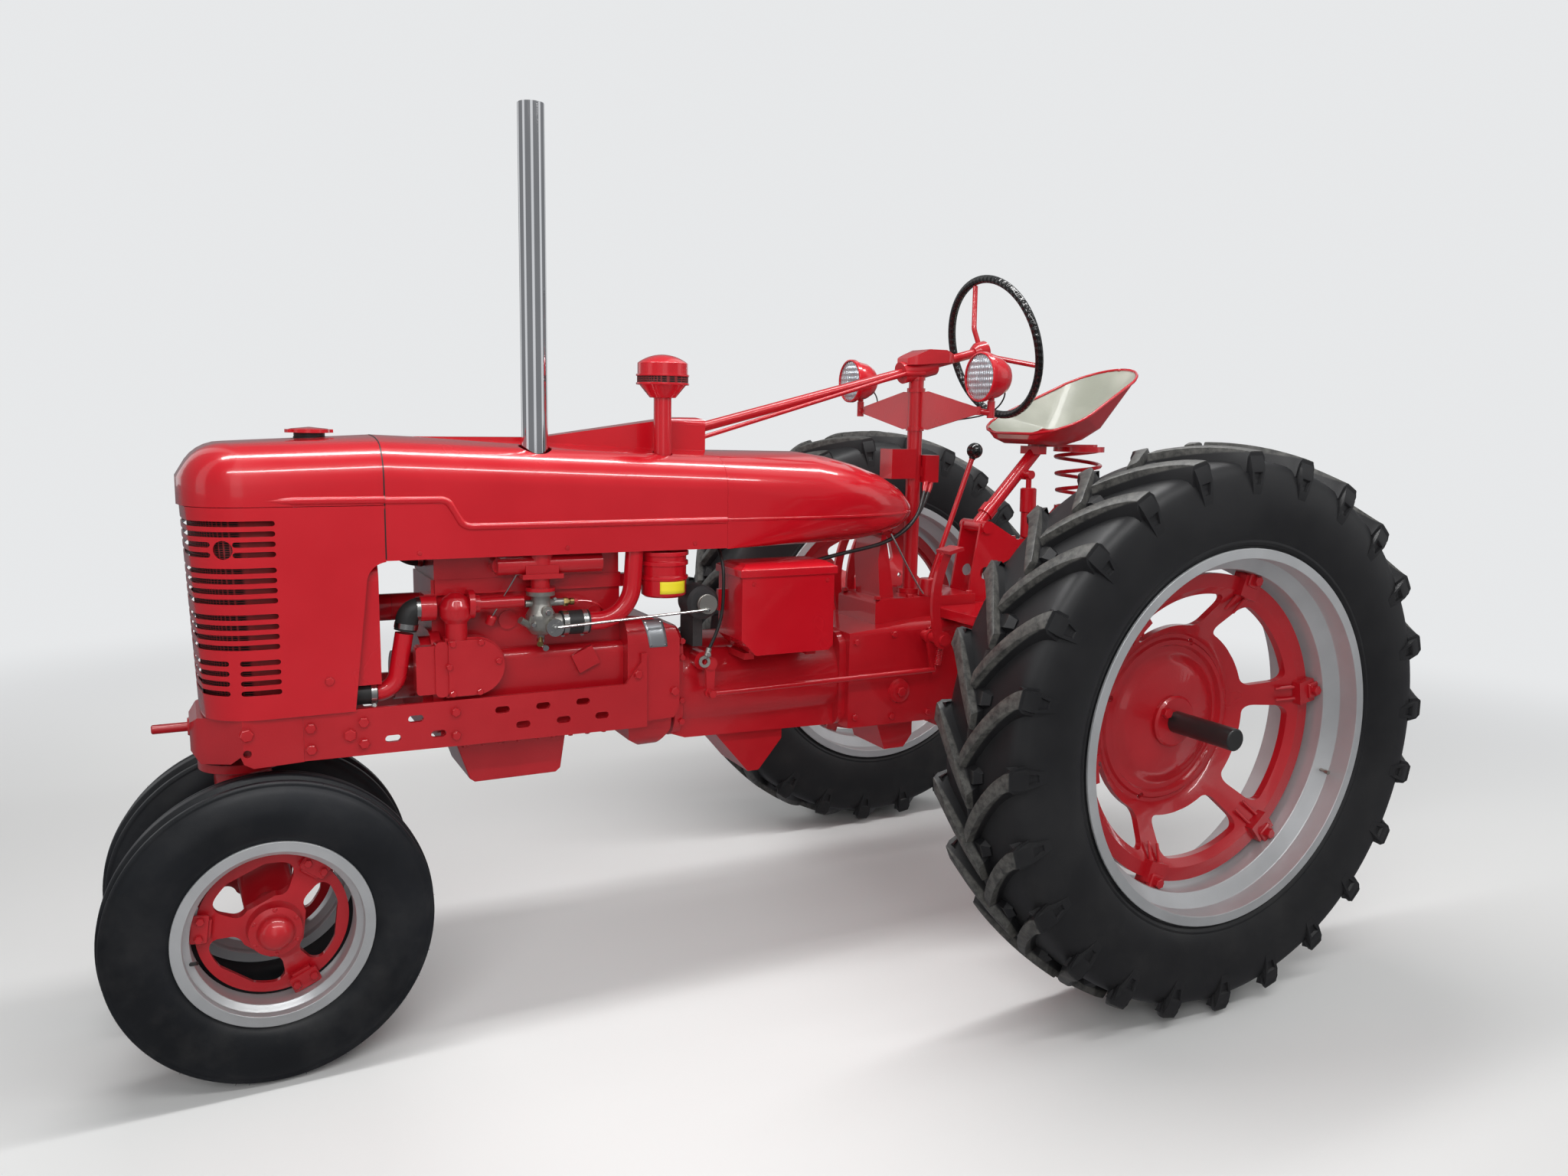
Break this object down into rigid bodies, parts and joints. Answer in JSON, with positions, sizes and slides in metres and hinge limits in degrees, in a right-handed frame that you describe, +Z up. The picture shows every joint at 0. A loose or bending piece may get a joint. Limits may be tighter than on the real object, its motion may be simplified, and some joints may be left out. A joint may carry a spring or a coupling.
{
  "type": "vintage row-crop farm tractor",
  "caption": "Old row-crop farm tractor with a narrow steered front, open petrol engine, rounded fuel tank, pan seat and tall lugged rear tyres.",
  "frame": {"origin": "on the ground under the middle of the tractor's box", "axes": "+X forward, +Y to the tractor's left, +Z up"},
  "size_m": [3.3797, 2.008, 2.312],
  "materials": {
    "red_paint": "gloss enamel",
    "silver_paint": "satin metallic",
    "tyre": "matt rubber",
    "black_rubber": "smooth rubber",
    "chrome": "polished",
    "bare_metal": "cast, dull",
    "dark_metal": "matt black",
    "black_steel": "satin black",
    "clear_glass": "fluted lens",
    "seat_enamel": "worn off-white enamel"
  },
  "bodies": {
    "chassis": {"front_bolster": "red_paint", "frame_rails": "red_paint", "radiator": "dark_metal", "fan_shroud": "red_paint", "grille": "red_paint", "nose_cap": "red_paint", "radiator_cap": "red_paint", "hood": "red_paint", "fuel_tank": "red_paint", "engine_block": "red_paint", "cylinder_head": "red_paint", "oil_pan": "red_paint", "governor_housing": "red_paint", "manifold": "red_paint", "carburettor": "bare_metal", "intake_pipe": "red_paint", "rubber_hoses": "black_rubber", "starting_motor": "dark_metal", "air_cleaner": "red_paint", "precleaner": "red_paint", "exhaust_stack": "chrome", "generator": "red_paint", "bell_housing": "red_paint", "transmission_case": "red_paint", "rear_axle_housing": "red_paint", "battery_box": "red_paint", "battery_box_lid": "red_paint", "steering_post": "red_paint", "headlamps": "red_paint", "headlamp_lenses": "clear_glass", "seat_pan": "seat_enamel", "seat_frame": "red_paint", "seat_spring": "red_paint", "seat_shock": "red_paint", "gear_lever": "red_paint", "clutch_linkage": "red_paint", "brake_pedals": "red_paint", "platform": "red_paint", "drawbar": "red_paint"},
    "fan": {"fan": "red_paint"},
    "power_take_off": {"pto_shaft": "bare_metal"},
    "pedestal": {"front_pedestal": "red_paint"},
    "front_wheel_left": {"front_disc_left": "red_paint", "front_rim_left": "silver_paint", "front_tyre_left": "tyre"},
    "front_wheel_right": {"front_disc_right": "red_paint", "front_rim_right": "silver_paint", "front_tyre_right": "tyre"},
    "rear_wheel_left": {"rear_disc_left": "red_paint", "rear_rim_left": "silver_paint", "rear_tyre_left": "tyre", "rear_axle_left": "black_steel"},
    "rear_wheel_right": {"rear_disc_right": "red_paint", "rear_rim_right": "silver_paint", "rear_tyre_right": "tyre", "rear_axle_right": "black_steel"},
    "steering_wheel": {"steering_rim": "black_rubber", "steering_spokes": "red_paint"}
  },
  "joints": [
    {"name": "front_steer", "type": "hinge", "parent": "chassis", "child": "pedestal", "pos_m": [1.369, 0, 0.74], "axis": [0, 0, 1], "range_deg": [-60, 60]},
    {"name": "front_wheel_left_spin", "type": "hinge", "parent": "pedestal", "child": "front_wheel_left", "pos_m": [1.325, 0.178, 0.3653], "axis": [0, 0.9994, 0.0349], "continuous": true},
    {"name": "front_wheel_right_spin", "type": "hinge", "parent": "pedestal", "child": "front_wheel_right", "pos_m": [1.325, -0.178, 0.3653], "axis": [0, 0.9994, -0.0349], "continuous": true},
    {"name": "rear_wheel_left_spin", "type": "hinge", "parent": "chassis", "child": "rear_wheel_left", "pos_m": [-0.925, 0.8415, 0.765], "axis": [0, 1, 0], "continuous": true},
    {"name": "rear_wheel_right_spin", "type": "hinge", "parent": "chassis", "child": "rear_wheel_right", "pos_m": [-0.925, -0.8415, 0.765], "axis": [0, 1, 0], "continuous": true},
    {"name": "steering_wheel_turn", "type": "hinge", "parent": "chassis", "child": "steering_wheel", "pos_m": [-0.849, 0, 1.80454], "axis": [0.9677, 0, -0.2521], "range_deg": [-540, 540]},
    {"name": "fan_spin", "type": "hinge", "parent": "chassis", "child": "fan", "pos_m": [1.06, 0, 1.08], "axis": [1, 0, 0], "continuous": true},
    {"name": "power_take_off_spin", "type": "hinge", "parent": "chassis", "child": "power_take_off", "pos_m": [-1.1305, 0, 0.64], "axis": [1, 0, 0], "continuous": true}
  ],
  "couplings": [
    {"joint": "steering_wheel_turn", "follows": "front_steer", "ratio": -9}
  ]
}
